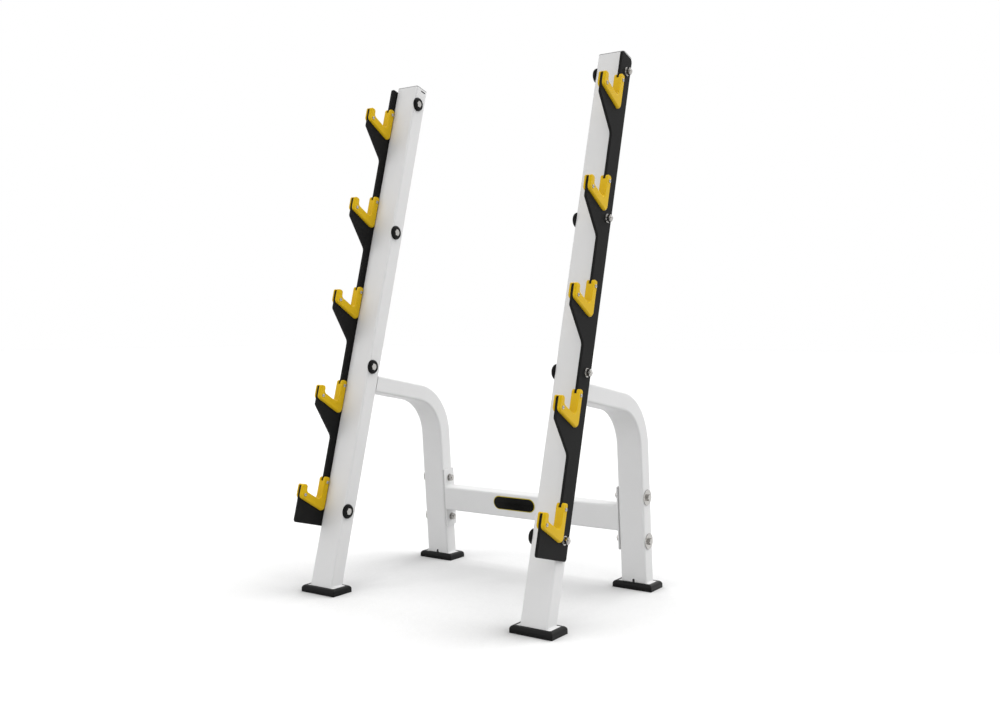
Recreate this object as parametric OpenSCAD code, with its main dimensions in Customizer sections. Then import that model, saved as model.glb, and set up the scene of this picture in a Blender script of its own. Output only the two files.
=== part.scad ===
// Barbell storage rack: two leaning uprights on bent rear legs, a bolted
// crossbar, and two laser-cut hook plates that hold five bars one above another.
// Frame: +X across the rack, +Y to the back, +Z up, origin on the floor under
// the middle of the overall box.

/* [Uprights] */
// Height of the uprights' front top edge above the floor
rack_h = 1520; // [1400:5:1600]
// Distance between the centre lines of the two uprights
upright_spacing = 720; // [600:5:900]
// Lean of the uprights to the back, in degrees
lean = 15; // [12:0.5:17]
// Width of the rectangular tube, across the rack
tube_w = 80; // [70:1:100]
// Depth of the rectangular tube, from front to back
tube_d = 50; // [46:1:60]
// Wall of the rectangular tube
tube_wall = 3; // [2:0.5:4]
// Outer corner radius of the tube
tube_r = 6; // [5:0.5:8]
// Thickness of the plate welded over the top of each upright
top_plate_t = 3; // [2:0.5:6]
// Length of the vent slot near the top of each upright
vent_l = 20; // [10:1:30]
// Height of the vent slot
vent_h = 4; // [3:0.5:6]
// Depth of the vent slot's middle behind the upright's front face
vent_back = 30; // [20:1:32]
// Distance of the vent slot below the upright's top
vent_drop = 10; // [8:1:30]

/* [Rear legs] */
// Floor distance from the front of the uprights to the front of the rear legs
leg_reach = 559; // [500:1:640]
// Lean of the rear legs, top to the front, in degrees
leg_lean = 5; // [2:0.5:8]
// Fall of the upper arms to the back, in degrees
arm_fall = 10; // [5:0.5:14]
// Height where the arm's centre line meets the back of the upright
arm_z = 594; // [540:1:680]
// Bend radius of the rear leg, on its centre line
bend_r = 155; // [130:1:180]
// Width of the drain notch at the foot of each rear leg
drain_w = 7; // [4:0.5:10]
// Height of the drain notch
drain_h = 10; // [5:0.5:14]

/* [Crossbar] */
// Height of the crossbar tube
bar_h = 76; // [60:1:90]
// Height of the crossbar's centre line above the floor
bar_z = 204; // [180:1:260]
// Thickness of the crossbar's end plates
end_plate_t = 6; // [4:0.5:10]
// Bolts of the end plates beyond the crossbar's top and bottom
end_bolt_out = 27; // [25:1:34]
// End plate beyond its bolts
end_bolt_edge = 29; // [25:1:34]
// Corner radius of the end plates
end_plate_r = 4; // [2:0.5:8]

/* [Hook plates] */
// Thickness of the hook plates
plate_t = 8; // [5:0.5:12]
// Height of the plate's lower edge, measured along the upright
plate_bottom = 190; // [170:1:205]
// Distance of the plate's upper edge below the upright's top
plate_drop = 12; // [8:1:30]
// Plate in front of the upright's front face, between the hooks
spine_front = 20; // [16:0.5:26]
// Plate behind the upright's front face
spine_back = 37; // [33:0.5:44]
// Reach of the hooks in front of the upright's front face
hook_reach = 106; // [98:1:120]
// Seat of the lowest hook, along the upright
first_seat = 262; // [250:1:280]
// Seat of the highest hook below the upright's top
last_seat_drop = 151.6; // [130:0.2:180]
// Slope of the hook seat against the plate's forward direction, in degrees
seat_slope = 16; // [10:0.5:20]
// Height of the hook's nose above the lowest point of the seat
nose_h = 38; // [34:0.5:44]
// Drop from the seat to the gusset's front corner
gusset_drop = 22; // [16:1:30]
// Slope of the gusset under each hook, in degrees
gusset_slope = 42; // [36:1:46]
// Fillet where the gusset runs into the narrow part of the plate
neck_r = 20; // [8:1:30]

/* [Hook liners] */
// Clear throat of the liner, from its back wall to its nose
throat = 63; // [56:0.5:66]
// Thickness of the liner's web on the plate's edge
web_t = 4; // [3:0.5:5]
// Thickness of each liner cheek
cheek_t = 7; // [5:0.5:9]
// Depth of the cheek below the seat
cheek_depth = 25; // [22:0.5:30]
// Height of the cheek beside the back wall, above the seat
back_h = 70.5; // [62:0.5:80]
// Depth of the notch between the cheeks at the top of the back wall
notch_d = 12.5; // [6:0.5:14]
// Cheek in front of the plate's front edge
cheek_lip = 2; // [1:0.5:4]
// Radius of the rounded valley in the seat
seat_r = 12; // [8:0.5:14]
// Bevel along the cheeks' outer edges
bevel = 4; // [2:0.5:5]
// Gap between the liner and the plate, and in its screw holes
liner_fit = 0.2; // [0.1:0.05:0.4]
// Gap between the liner and the front of the upright
liner_back = 1; // [0.5:0.25:3]

/* [Feet] */
// Steel base plate beyond the tube's sides
base_side = 11; // [6:0.5:20]
// Steel base plate beyond the tube's front and back
base_front = 0.5; // [0.5:0.5:6]
// Thickness of the steel base plate
base_t = 5; // [3:0.5:6]
// Gap between the base plate and its rubber rim
base_gap = 0.3; // [0.1:0.1:0.5]
// Height of the rubber foot
foot_h = 20; // [16:1:28]
// Radius of the rounding along the foot's top
foot_round = 10.5; // [8:0.5:12]
// Radius of the foot's upright corners
foot_r = 2; // [1:0.5:6]
// Rubber rim round the steel base plate
foot_rim = 1.5; // [1.5:0.5:3]
// Base plate's top below the rim
rim_drop = 1; // [0.5:0.5:3]

/* [Bolts] */
// Nominal diameter of the frame bolts
bolt_d = 12; // [10:1:12]
// Clearance of the bolt holes, on the diameter
bolt_gap = 1; // [0.5:0.1:1.5]
// Width across the flats of the bolt heads and nuts
hex_af = 18; // [17:0.5:19]
// Height of the bolt heads
head_h = 7; // [6:0.5:9]
// Height of the nuts
nut_h = 10; // [8:0.5:12]
// Bolt end beyond the nut
bolt_end = 3; // [1:0.5:8]
// Diameter of the plain washers
washer_d = 24; // [22:0.5:26]
// Thickness of the plain washers
washer_t = 2.5; // [1.5:0.5:3]
// Diameter of the large outer washers of the crossbar's bolts
wide_washer_d = 46; // [34:1:46]
// Thickness of the large washers
wide_washer_t = 3; // [2:0.5:4]
// Depth of the hook bolts behind the upright's front face
bolt_back = 14; // [13:0.5:18]
// Lowest hook bolt below the lowest seat
bolt_low = 20; // [10:1:40]
// Highest hook bolt below the upright's top
bolt_drop = 58.6; // [45:0.2:80]
// Places of the two middle bolts, as shares of the way from the lowest to the highest
bolt_shares = [0.338, 0.668]; // [0.25:0.002:0.75]
// Diameter of the round cap washers on the uprights' inner faces
cup_d = 42; // [38:1:42]
// Thickness of the cap washers
cup_h = 8; // [7:0.5:10]
// Rounding of the cap washers' outer edge
cup_r = 6; // [3:0.5:6]
// Thickness of the cap washer under the bolt head
cup_floor = 2; // [1:0.5:4]
// Gap round the bolt head in its cap washer
cup_gap = 1; // [0.5:0.25:1.5]
// Nominal diameter of the liner screws
screw_d = 5; // [4:0.5:5]
// Rear liner screw behind the plate's front edge between the hooks
screw_back = 9; // [8:0.5:11]
// Rear liner screw below the top of the cheek
screw_drop = 15.5; // [12:0.5:20]
// Nose screw behind the plate's front edge at the hook
screw_in = 14; // [12:0.5:18]
// Nose screw below the edge that carries the seat
screw_under = 7; // [6:0.5:9]
// Diameter of the liner screws' heads
screw_head_d = 9.5; // [9:0.5:11]
// Height of the liner screws' heads
screw_head_h = 2.5; // [2:0.25:4]
// Outer diameter of the liner screws' barrel nuts
barrel_d = 7; // [6.5:0.25:7.5]

/* [Hidden] */

$fn = 64;
LEFT = -1;
RIGHT = 1;
hooks = 5;
block_r = 8;
plate_r = 6;
nose_r = 8;
heel_r = 10;

// Colours
powder_grey = [0.82, 0.82, 0.82];
plate_black = [0.20, 0.20, 0.20];
rubber_black = [0.13, 0.13, 0.13];
liner_yellow = [0.88, 0.72, 0.20];
zinc = [0.75, 0.75, 0.77];

// Places across the rack, measured on the right side
inner_x = (upright_spacing - tube_w) / 2;
outer_x = (upright_spacing + tube_w) / 2;
plate_x = outer_x + plate_t / 2;
cheek_x = plate_t / 2 + liner_fit + cheek_t;

// Steel base plates under the tubes, and the rubber feet round them
base_w = tube_w + 2 * base_side;
base_r = 4;
foot_w = base_w + 2 * (foot_rim + foot_round);

// Heights along the upright
base_z = foot_h - rim_drop;
upright_top = rack_h / cos(lean);
plate_top = upright_top - plate_drop;
hook_pitch = (upright_top - last_seat_drop - first_seat) / (hooks - 1);

// Outline of one hook, forward distance first, then height above its seat
back_wall = spine_front + web_t;
nose_wall = back_wall + throat;
cheek_front = hook_reach + cheek_lip;
function seat(u) = (u - back_wall) * tan(seat_slope);
function saddle(u, gap) = seat(u) - (web_t - gap) / cos(seat_slope);
function cheek_low(u) = seat(u) - cheek_depth / cos(seat_slope);
gusset_h = (hook_reach - spine_front) * tan(gusset_slope);
function seat_at(k) = first_seat + (k - 1) * hook_pitch;
screw_points = [[spine_front - screw_back, back_h - screw_drop],
    [hook_reach - screw_in, saddle(hook_reach - screw_in, 0) - screw_under]];

// Places from front to back, before the origin is moved under the middle
leg_depth = tube_d / cos(leg_lean);
upright_depth = tube_d / cos(lean);
base_d = max(upright_depth, leg_depth) + 2 * base_front;
foot_d = base_d + 2 * (foot_rim + foot_round);
function leg_front(z) = leg_reach - z * tan(leg_lean);
function upright_front(z) = z * tan(lean);
front_foot_y = upright_front(base_z) + upright_depth / 2;
rear_foot_y = leg_front(base_z) + leg_depth / 2;
rack_front = (plate_bottom + block_r) * sin(lean) - (hook_reach - block_r) * cos(lean) - block_r;
rack_back = rear_foot_y + foot_d / 2;
front_y = -(rack_front + rack_back) / 2;
far = rack_h + leg_reach;

// Rear leg: the arm and the leg meet at a corner that the bend rounds
arm_y = upright_front(arm_z) + upright_depth;
leg_mid = leg_reach + leg_depth / 2;
corner_y = (leg_mid - (arm_z + arm_y * tan(arm_fall)) * tan(leg_lean))
    / (1 - tan(arm_fall) * tan(leg_lean));
corner_z = arm_z - (corner_y - arm_y) * tan(arm_fall);
bend_angle = 90 - arm_fall - leg_lean;
tangent = bend_r * tan(bend_angle / 2);
arm_l = (corner_y - arm_y) / cos(arm_fall) - tangent;
leg_l = (corner_z - base_z) / cos(leg_lean) - tangent;

// Bolts
hole_d = bolt_d + bolt_gap;
recess_r = hex_af / cos(30) / 2 + cup_gap;
hook_bolt_seat = inner_x - cup_floor;
hook_bolt_tip = outer_x + plate_t + washer_t + nut_h + bolt_end;
bolt_first = first_seat - bolt_low;
bolt_last = upright_top - bolt_drop;
bolt_at = [for (share = concat(0, bolt_shares, 1)) bolt_first + share * (bolt_last - bolt_first)];
bar_bolt_seat = outer_x + wide_washer_t;
bar_nut_seat = inner_x - end_plate_t - washer_t;
bar_bolt_tip = bar_nut_seat - nut_h - bolt_end;
bar_along = bar_z / cos(leg_lean);
end_bolt_at = bar_h / 2 + end_bolt_out;
end_plate_h = 2 * (end_bolt_at + end_bolt_edge);
bar_bolt_at = [bar_along - end_bolt_at, bar_along + end_bolt_at];

// Unit vector from a to b
function toward(a, b) = (b - a) / norm(b - a);

// The small piece between a corner at p, with neighbours a and b, and the arc
// of radius r that touches both edges there
module corner_piece(p, a, b, r, grow) {
    da = toward(p, a);
    db = toward(p, b);
    half = acos(da * db) / 2;
    reach = r / tan(half);
    mid = toward([0, 0], da + db);
    difference() {
        polygon([p - mid * grow, p + da * reach, p + mid * (r / sin(half)), p + db * reach]);
        translate(p + mid * (r / sin(half))) circle(r);
    }
}

// Polygon with counter-clockwise points and one radius for each corner
module rounded(points, radii) {
    n = len(points);
    function turn(i) = cross(points[i] - points[(i + n - 1) % n],
        points[(i + 1) % n] - points[i]);
    difference() {
        union() {
            polygon(points);
            for (i = [0:n - 1]) if (radii[i] > 0 && turn(i) < 0)
                corner_piece(points[i], points[(i + n - 1) % n], points[(i + 1) % n],
                    radii[i], radii[i] / 4);
        }
        for (i = [0:n - 1]) if (radii[i] > 0 && turn(i) > 0)
            corner_piece(points[i], points[(i + n - 1) % n], points[(i + 1) % n],
                radii[i], radii[i] / 4);
    }
}

// Rectangle centred on the origin with rounded corners
module rounded_rect(w, d, r) {
    rounded([[-w / 2, -d / 2], [w / 2, -d / 2], [w / 2, d / 2], [-w / 2, d / 2]],
        [r, r, r, r]);
}

// Section of a rectangular tube
module tube_section(w, d) {
    difference() {
        rounded_rect(w, d, tube_r);
        rounded_rect(w - 2 * tube_wall, d - 2 * tube_wall, tube_r - tube_wall);
    }
}

// Mirrors what is drawn for the right side onto the left
module on_side(side) {
    if (side == LEFT) mirror([1, 0, 0]) children();
    else children();
}

// Frame of an upright: Y from its front face to the back, Z along its axis
module on_upright() {
    translate([0, front_y, 0]) rotate([-lean, 0, 0]) children();
}

// Frame of a rear leg: Y from its front face to the back, Z along its axis
module on_leg() {
    translate([0, front_y + leg_reach, 0]) rotate([leg_lean, 0, 0]) children();
}

// Plate between two places across the rack, drawn as forward distance and height
module side_plate(x1, x2) {
    rotate([90, 0, -90]) translate([0, 0, -x2]) linear_extrude(x2 - x1) children();
}

// Round bar across the rack
module cross_rod(x1, x2, d, back, up) {
    translate([x1, back, up]) rotate([0, 90, 0]) cylinder(h = x2 - x1, d = d);
}

// Space below a horizontal plane
module below(z) {
    translate([-far, -far, z - far]) cube([2 * far, 2 * far, far]);
}

// Bevel along the outer edge of a thick plate whose face is at height 0: the
// straight edges between the corners first to last, and cones round the corners
module edge_bevel(points, radii, first, last) {
    n = len(points);
    function half(i) = acos(toward(points[i], points[(i + n - 1) % n])
        * toward(points[i], points[(i + 1) % n])) / 2;
    function reach(i) = radii[i] / tan(half(i));
    for (j = [first:last]) {
        i = j % n;
        next = (i + 1) % n;
        before = toward(points[i], points[(i + n - 1) % n]);
        after = toward(points[i], points[next]);
        mid = toward([0, 0], before + after);
        centre = points[i] + mid * (radii[i] / sin(half(i)));
        out = (radii[i] + 1) / radii[i];
        start = points[i] + before * reach(i);
        end = points[i] + after * reach(i);
        difference() {
            translate([0, 0, -bevel]) linear_extrude(bevel + 1)
                polygon([centre, centre + (start - centre) * out,
                    points[i] - mid * radii[i], centre + (end - centre) * out]);
            translate([centre.x, centre.y, -bevel - 1])
                cylinder(h = bevel + 2, r1 = radii[i] + 1, r2 = radii[i] - bevel - 1);
        }
        if (j < last) {
            run = norm(points[next] - points[i]) - reach(i) - reach(next);
            translate([end.x, end.y, 0]) rotate([0, 0, atan2(after.y, after.x)])
                rotate([90, 0, 90]) linear_extrude(run)
                polygon([[-1, -bevel - 1], [bevel + 1, 1], [-1, 1]]);
        }
    }
}

// Edges of the plate that carry a liner, grown by a gap: nose top and wall,
// saddle, and the corner at the spine
function hook_edge(gap) = [
    [nose_wall + web_t - gap, nose_h - web_t + gap],
    [nose_wall + web_t - gap, saddle(nose_wall + web_t - gap, gap)],
    [spine_front + gap, saddle(spine_front + gap, gap)]];
function edge_radii(gap) = [nose_r - web_t + gap, heel_r + web_t - gap, seat_r + web_t - gap];

// Whole outline of a hook plate
plate_points = concat(
    [[-spine_back, plate_bottom], [hook_reach, plate_bottom]],
    [for (k = [1:hooks]) each concat(
        k == 1 ? [] : [[spine_front, seat_at(k) - gusset_drop - gusset_h],
            [hook_reach, seat_at(k) - gusset_drop]],
        [[hook_reach, seat_at(k) + nose_h - web_t]],
        [for (p = hook_edge(0)) [p.x, p.y + seat_at(k)]])],
    [[spine_front, plate_top], [-spine_back, plate_top]]);
plate_radii = concat([block_r, block_r],
    [for (k = [1:hooks]) each concat(k == 1 ? [] : [neck_r, block_r], [plate_r], edge_radii(0))],
    [plate_r, 2 * plate_r]);

// Outline of a liner's cheek, and of the slot that the plate fills
cheek_points = [[liner_back, cheek_low(liner_back)], [cheek_front, cheek_low(cheek_front)],
    [cheek_front, nose_h], [nose_wall, nose_h], [nose_wall, seat(nose_wall)],
    [back_wall, 0], [back_wall, back_h], [liner_back, back_h]];
cheek_radii = [14, 12, nose_r, nose_r, heel_r, seat_r, nose_r, nose_r];
slot_low = cheek_low(liner_back) - 10;
slot_points = concat(
    [[-spine_back, slot_low], [cheek_front + 10, slot_low],
        [cheek_front + 10, hook_edge(liner_fit)[0].y]],
    hook_edge(liner_fit),
    [[spine_front + liner_fit, back_h - notch_d], [back_wall + 10, back_h - notch_d],
        [back_wall + 10, back_h + 10], [-spine_back, back_h + 10]]);
slot_radii = concat([0, 0, 0], edge_radii(liner_fit), [0, 0, 0, 0]);

// Frame of a plate's middle, drawn as forward distance, height and thickness
module in_plate_plane(k) {
    on_upright() translate([plate_x, 0, seat_at(k)]) rotate([90, 0, -90]) children();
}

// Hexagonal head or nut, with its outer face chamfered
module hex(h) {
    intersection() {
        cylinder(h = h, d = hex_af / cos(30), $fn = 6);
        cylinder(h = h, d1 = 0.95 * hex_af + 2 * h / tan(30), d2 = 0.95 * hex_af);
    }
}

// Bolt from its head's seat to its tip
module hex_bolt(l) {
    cylinder(h = l, d = bolt_d);
    mirror([0, 0, 1]) hex(head_h);
}

module nut() {
    difference() {
        hex(nut_h);
        translate([0, 0, -1]) cylinder(h = nut_h + 2, d = bolt_d);
    }
}

module washer(d, t) {
    difference() {
        cylinder(h = t, d = d);
        translate([0, 0, -1]) cylinder(h = t + 2, d = hole_d);
    }
}

// Places of a side's frame bolts, pointing out of the rack
module at_hook_bolts(x) {
    on_upright() for (s = bolt_at) translate([x, bolt_back, s]) rotate([0, 90, 0]) children();
}

module at_bar_bolts(x) {
    on_leg() for (s = bar_bolt_at) translate([x, tube_d / 2, s]) rotate([0, 90, 0]) children();
}

// Places of a side's liner screws
module at_liner_screws() {
    for (k = [1:hooks]) in_plate_plane(k) for (p = screw_points) translate([p.x, p.y, 0])
        mirror([0, 0, 1]) children();
}

// Tube of an upright with its bolt holes, vent slot and level lower end
module upright(side) {
    color(powder_grey) on_side(side) difference() {
        on_upright() difference() {
            translate([upright_spacing / 2, tube_d / 2, 0])
                linear_extrude(upright_top - top_plate_t) tube_section(tube_w, tube_d);
            for (s = bolt_at) cross_rod(inner_x - 1, outer_x + 1, hole_d, bolt_back, s);
            translate([inner_x - 1, vent_back, upright_top - vent_drop]) {
                translate([0, -(vent_l - vent_h) / 2, -vent_h / 2])
                    cube([tube_wall + 2, vent_l - vent_h, vent_h]);
                for (e = [-1, 1]) translate([0, e * (vent_l - vent_h) / 2, 0])
                    rotate([0, 90, 0]) cylinder(h = tube_wall + 2, d = vent_h);
            }
        }
        below(base_z);
    }
}

// Plate that closes the top of an upright
module top_plate(side) {
    color(powder_grey) on_side(side) on_upright()
        translate([upright_spacing / 2, tube_d / 2, upright_top - top_plate_t])
        linear_extrude(top_plate_t) rounded_rect(tube_w, tube_d, tube_r);
}

// Straight end of a bent tube with half of the bend and a little more, about the
// bend's axis, so that two of them overlap and make one tube
module half_bent(l) {
    rotate([90, 0, 0]) linear_extrude(l) translate([bend_r, 0]) tube_section(tube_d, tube_w);
    rotate_extrude(angle = bend_angle / 2 + 1) translate([bend_r, 0])
        tube_section(tube_d, tube_w);
}

// Bent tube from the upright's back down to the rear foot
module rear_leg(side) {
    color(powder_grey) on_side(side) difference() {
        translate([upright_spacing / 2,
            front_y + corner_y - tangent * cos(arm_fall) - bend_r * sin(arm_fall),
            corner_z + tangent * sin(arm_fall) - bend_r * cos(arm_fall)])
            rotate([90, 0, -90]) rotate([0, 0, 90 + arm_fall]) {
                half_bent(arm_l + tube_d);
                rotate([0, 0, bend_angle]) mirror([0, 1, 0]) half_bent(leg_l + tube_d);
            }
        on_upright() translate([0, -far, 0]) cube([far, far + tube_d, far]);
        on_leg() {
            for (s = bar_bolt_at) cross_rod(inner_x - 1, outer_x + 1, hole_d, tube_d / 2, s);
            translate([upright_spacing / 2 - drain_w / 2, -1, 0])
                cube([drain_w, tube_wall + 2, (base_z + drain_h) / cos(leg_lean)]);
        }
        below(base_z);
    }
}

module crossbar() {
    color(powder_grey) on_leg() translate([0, tube_d / 2, bar_along]) rotate([0, 90, 0])
        linear_extrude(2 * (inner_x - end_plate_t), center = true) tube_section(bar_h, tube_d);
}

module end_plate(side) {
    color(powder_grey) on_side(side) on_leg() translate([0, tube_d / 2, bar_along])
        side_plate(inner_x - end_plate_t, inner_x) difference() {
            rounded_rect(tube_d, end_plate_h, end_plate_r);
            for (e = [-1, 1]) translate([0, e * end_bolt_at]) circle(d = hole_d);
        }
}

// Laser-cut plate with five hooks
module hook_plate(side) {
    color(plate_black) on_side(side) on_upright()
        side_plate(outer_x, outer_x + plate_t) difference() {
            rounded(plate_points, plate_radii);
            for (s = bolt_at) translate([-bolt_back, s]) circle(d = hole_d);
            for (k = [1:hooks], p = screw_points)
                translate([p.x, p.y + seat_at(k)]) circle(d = barrel_d + 2 * liner_fit);
        }
}

// Plastic liner that straddles a hook, counted from the lowest
module hook_liner(side, k) {
    color(liner_yellow) on_side(side) in_plate_plane(k) difference() {
        translate([0, 0, -cheek_x]) linear_extrude(2 * cheek_x)
            rounded(cheek_points, cheek_radii);
        translate([0, 0, -plate_t / 2 - liner_fit]) linear_extrude(plate_t + 2 * liner_fit)
            rounded(slot_points, slot_radii);
        for (m = [0, 1]) mirror([0, 0, m]) translate([0, 0, cheek_x])
            edge_bevel(cheek_points, cheek_radii, 6, 11);
        for (p = screw_points) translate([p.x, p.y, -cheek_x - 1])
            cylinder(h = 2 * cheek_x + 2, d = barrel_d + 2 * liner_fit);
    }
}

// Screws with their heads on the outer cheeks
module liner_screws(side) {
    color(zinc) on_side(side) at_liner_screws() {
        translate([0, 0, cheek_x])
            cylinder(h = screw_head_h, d1 = screw_head_d, d2 = 0.7 * screw_head_d);
        translate([0, 0, 2 - cheek_x]) cylinder(h = 2 * cheek_x - 2, d = screw_d);
    }
}

// Barrel nuts with their heads on the inner cheeks
module liner_barrel_nuts(side) {
    color(zinc) on_side(side) at_liner_screws() difference() {
        union() {
            translate([0, 0, -cheek_x - screw_head_h])
                cylinder(h = screw_head_h, d1 = 0.7 * screw_head_d, d2 = screw_head_d);
            translate([0, 0, -cheek_x]) cylinder(h = 2 * cheek_x - 1.5, d = barrel_d);
        }
        translate([0, 0, 1 - cheek_x]) cylinder(h = 2 * cheek_x, d = screw_d + 2 * liner_fit);
    }
}

module hook_bolts(side) {
    color(zinc) on_side(side) at_hook_bolts(hook_bolt_seat)
        hex_bolt(hook_bolt_tip - hook_bolt_seat);
}

// Round black washers that cup the bolt heads
module hook_cap_washers(side) {
    color(rubber_black) on_side(side) at_hook_bolts(inner_x) mirror([0, 0, 1])
        rotate_extrude() rounded(
            [[hole_d / 2, 0], [cup_d / 2, 0], [cup_d / 2, cup_h], [recess_r, cup_h],
                [recess_r, cup_floor], [hole_d / 2, cup_floor]],
            [0, 0, cup_r, 1, 0, 0]);
}

module hook_washers(side) {
    color(zinc) on_side(side) at_hook_bolts(outer_x + plate_t) washer(washer_d, washer_t);
}

module hook_nuts(side) {
    color(zinc) on_side(side) at_hook_bolts(outer_x + plate_t + washer_t) nut();
}

// The crossbar's bolts go in from outside and have their nuts on the end plates
module crossbar_bolts(side) {
    color(zinc) on_side(side) at_bar_bolts(bar_bolt_seat) mirror([0, 0, 1])
        hex_bolt(bar_bolt_seat - bar_bolt_tip);
}

module crossbar_inner_washers(side) {
    color(zinc) on_side(side) at_bar_bolts(bar_nut_seat) washer(washer_d, washer_t);
}

module crossbar_outer_washers(side) {
    color(zinc) on_side(side) at_bar_bolts(outer_x) washer(wide_washer_d, wide_washer_t);
}

module crossbar_nuts(side) {
    color(zinc) on_side(side) at_bar_bolts(bar_nut_seat) mirror([0, 0, 1]) nut();
}

// Steel plate under a tube, seated in its rubber foot
module base_plate(side, y) {
    color(powder_grey) on_side(side)
        translate([upright_spacing / 2, front_y + y, base_z - base_t])
        linear_extrude(base_t) rounded_rect(base_w, base_d, base_r);
}

// Section of the foot's block over the width w, rounded along its top
module foot_section(w) {
    rounded([[-w / 2, 0], [w / 2, 0], [w / 2, foot_h], [-w / 2, foot_h]],
        [0, 0, foot_round, foot_round]);
}

// Block whose rounded top edges meet in a mitre at each corner
module foot_block() {
    intersection() {
        rotate([90, 0, 0]) linear_extrude(foot_d, center = true) foot_section(foot_w);
        rotate([90, 0, 90]) linear_extrude(foot_w, center = true) foot_section(foot_d);
        linear_extrude(foot_h) rounded_rect(foot_w, foot_d, foot_r);
    }
}

module foot(side, y) {
    color(rubber_black) on_side(side) translate([upright_spacing / 2, front_y + y, 0])
        difference() {
            foot_block();
            translate([0, 0, base_z - base_t]) linear_extrude(base_t + rim_drop + 1)
                rounded_rect(base_w + 2 * base_gap, base_d + 2 * base_gap, base_r + base_gap);
        }
}

upright(LEFT);  // left_upright
upright(RIGHT);  // right_upright
top_plate(LEFT);  // left_top_plate
top_plate(RIGHT);  // right_top_plate
rear_leg(LEFT);  // left_rear_leg
rear_leg(RIGHT);  // right_rear_leg
crossbar();
end_plate(LEFT);  // left_crossbar_end_plate
end_plate(RIGHT);  // right_crossbar_end_plate
hook_plate(LEFT);  // left_hook_plate
hook_plate(RIGHT);  // right_hook_plate
hook_liner(LEFT, 1);  // left_hook_liner_1
hook_liner(LEFT, 2);  // left_hook_liner_2
hook_liner(LEFT, 3);  // left_hook_liner_3
hook_liner(LEFT, 4);  // left_hook_liner_4
hook_liner(LEFT, 5);  // left_hook_liner_5
hook_liner(RIGHT, 1);  // right_hook_liner_1
hook_liner(RIGHT, 2);  // right_hook_liner_2
hook_liner(RIGHT, 3);  // right_hook_liner_3
hook_liner(RIGHT, 4);  // right_hook_liner_4
hook_liner(RIGHT, 5);  // right_hook_liner_5
liner_screws(LEFT);  // left_liner_screws
liner_screws(RIGHT);  // right_liner_screws
liner_barrel_nuts(LEFT);  // left_liner_barrel_nuts
liner_barrel_nuts(RIGHT);  // right_liner_barrel_nuts
hook_bolts(LEFT);  // left_hook_bolts
hook_bolts(RIGHT);  // right_hook_bolts
hook_cap_washers(LEFT);  // left_hook_cap_washers
hook_cap_washers(RIGHT);  // right_hook_cap_washers
hook_washers(LEFT);  // left_hook_washers
hook_washers(RIGHT);  // right_hook_washers
hook_nuts(LEFT);  // left_hook_nuts
hook_nuts(RIGHT);  // right_hook_nuts
crossbar_bolts(LEFT);  // left_crossbar_bolts
crossbar_bolts(RIGHT);  // right_crossbar_bolts
crossbar_inner_washers(LEFT);  // left_crossbar_inner_washers
crossbar_inner_washers(RIGHT);  // right_crossbar_inner_washers
crossbar_outer_washers(LEFT);  // left_crossbar_outer_washers
crossbar_outer_washers(RIGHT);  // right_crossbar_outer_washers
crossbar_nuts(LEFT);  // left_crossbar_nuts
crossbar_nuts(RIGHT);  // right_crossbar_nuts
base_plate(LEFT, front_foot_y);  // front_left_base_plate
base_plate(RIGHT, front_foot_y);  // front_right_base_plate
base_plate(LEFT, rear_foot_y);  // rear_left_base_plate
base_plate(RIGHT, rear_foot_y);  // rear_right_base_plate
foot(LEFT, front_foot_y);  // front_left_foot
foot(RIGHT, front_foot_y);  // front_right_foot
foot(LEFT, rear_foot_y);  // rear_left_foot
foot(RIGHT, rear_foot_y);  // rear_right_foot
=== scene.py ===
# %% [markdown]
# # A barbell storage rack
# Two leaning uprights stand on bent rear legs, and a low crossbar ties the legs
# together. A black plate with five hooks is bolted outside each upright, and a
# yellow plastic liner straddles each hook, so that a bar doesn't touch steel.
#
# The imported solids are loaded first. They are the measure for all that follows:
# metres, +X to the rack's right, +Y to its back, +Z up, origin on the floor.

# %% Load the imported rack
import math

import bpy
import numpy as np
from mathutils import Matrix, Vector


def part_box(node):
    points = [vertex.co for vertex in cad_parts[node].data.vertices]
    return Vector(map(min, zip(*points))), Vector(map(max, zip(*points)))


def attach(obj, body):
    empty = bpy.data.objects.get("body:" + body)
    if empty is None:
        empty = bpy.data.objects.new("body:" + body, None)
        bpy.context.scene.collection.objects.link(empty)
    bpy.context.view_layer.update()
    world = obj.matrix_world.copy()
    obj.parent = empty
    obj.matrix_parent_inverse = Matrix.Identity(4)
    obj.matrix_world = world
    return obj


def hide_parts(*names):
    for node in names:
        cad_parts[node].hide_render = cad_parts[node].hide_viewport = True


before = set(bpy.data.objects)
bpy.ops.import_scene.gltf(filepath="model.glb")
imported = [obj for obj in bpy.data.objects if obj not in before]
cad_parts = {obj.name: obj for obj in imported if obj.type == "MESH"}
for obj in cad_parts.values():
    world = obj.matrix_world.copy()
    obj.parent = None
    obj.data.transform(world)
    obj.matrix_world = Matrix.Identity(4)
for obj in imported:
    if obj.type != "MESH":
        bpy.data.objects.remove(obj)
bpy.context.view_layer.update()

# %% [markdown]
# ## Camera
# A catalogue picture of a tall, thin thing is taken with a normal lens from about
# half its height, so that the uprights stay nearly parallel. The place and the
# turn below were found by matching the frame's corners with the picture's.

# %% Camera
LOOKS_DOWN, TO_THE_RIGHT = 1.77, 34.04
camera_lens = bpy.data.cameras.new("camera")
camera_lens.sensor_width = 36.0
camera_lens.lens = 36.717
camera = bpy.data.objects.new("camera", camera_lens)
camera.location = (1.69238, -2.39700, 0.75969)
camera.rotation_euler = (math.radians(90 - LOOKS_DOWN), 0.0, math.radians(TO_THE_RIGHT))
bpy.context.scene.collection.objects.link(camera)
bpy.context.scene.camera = camera

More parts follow.
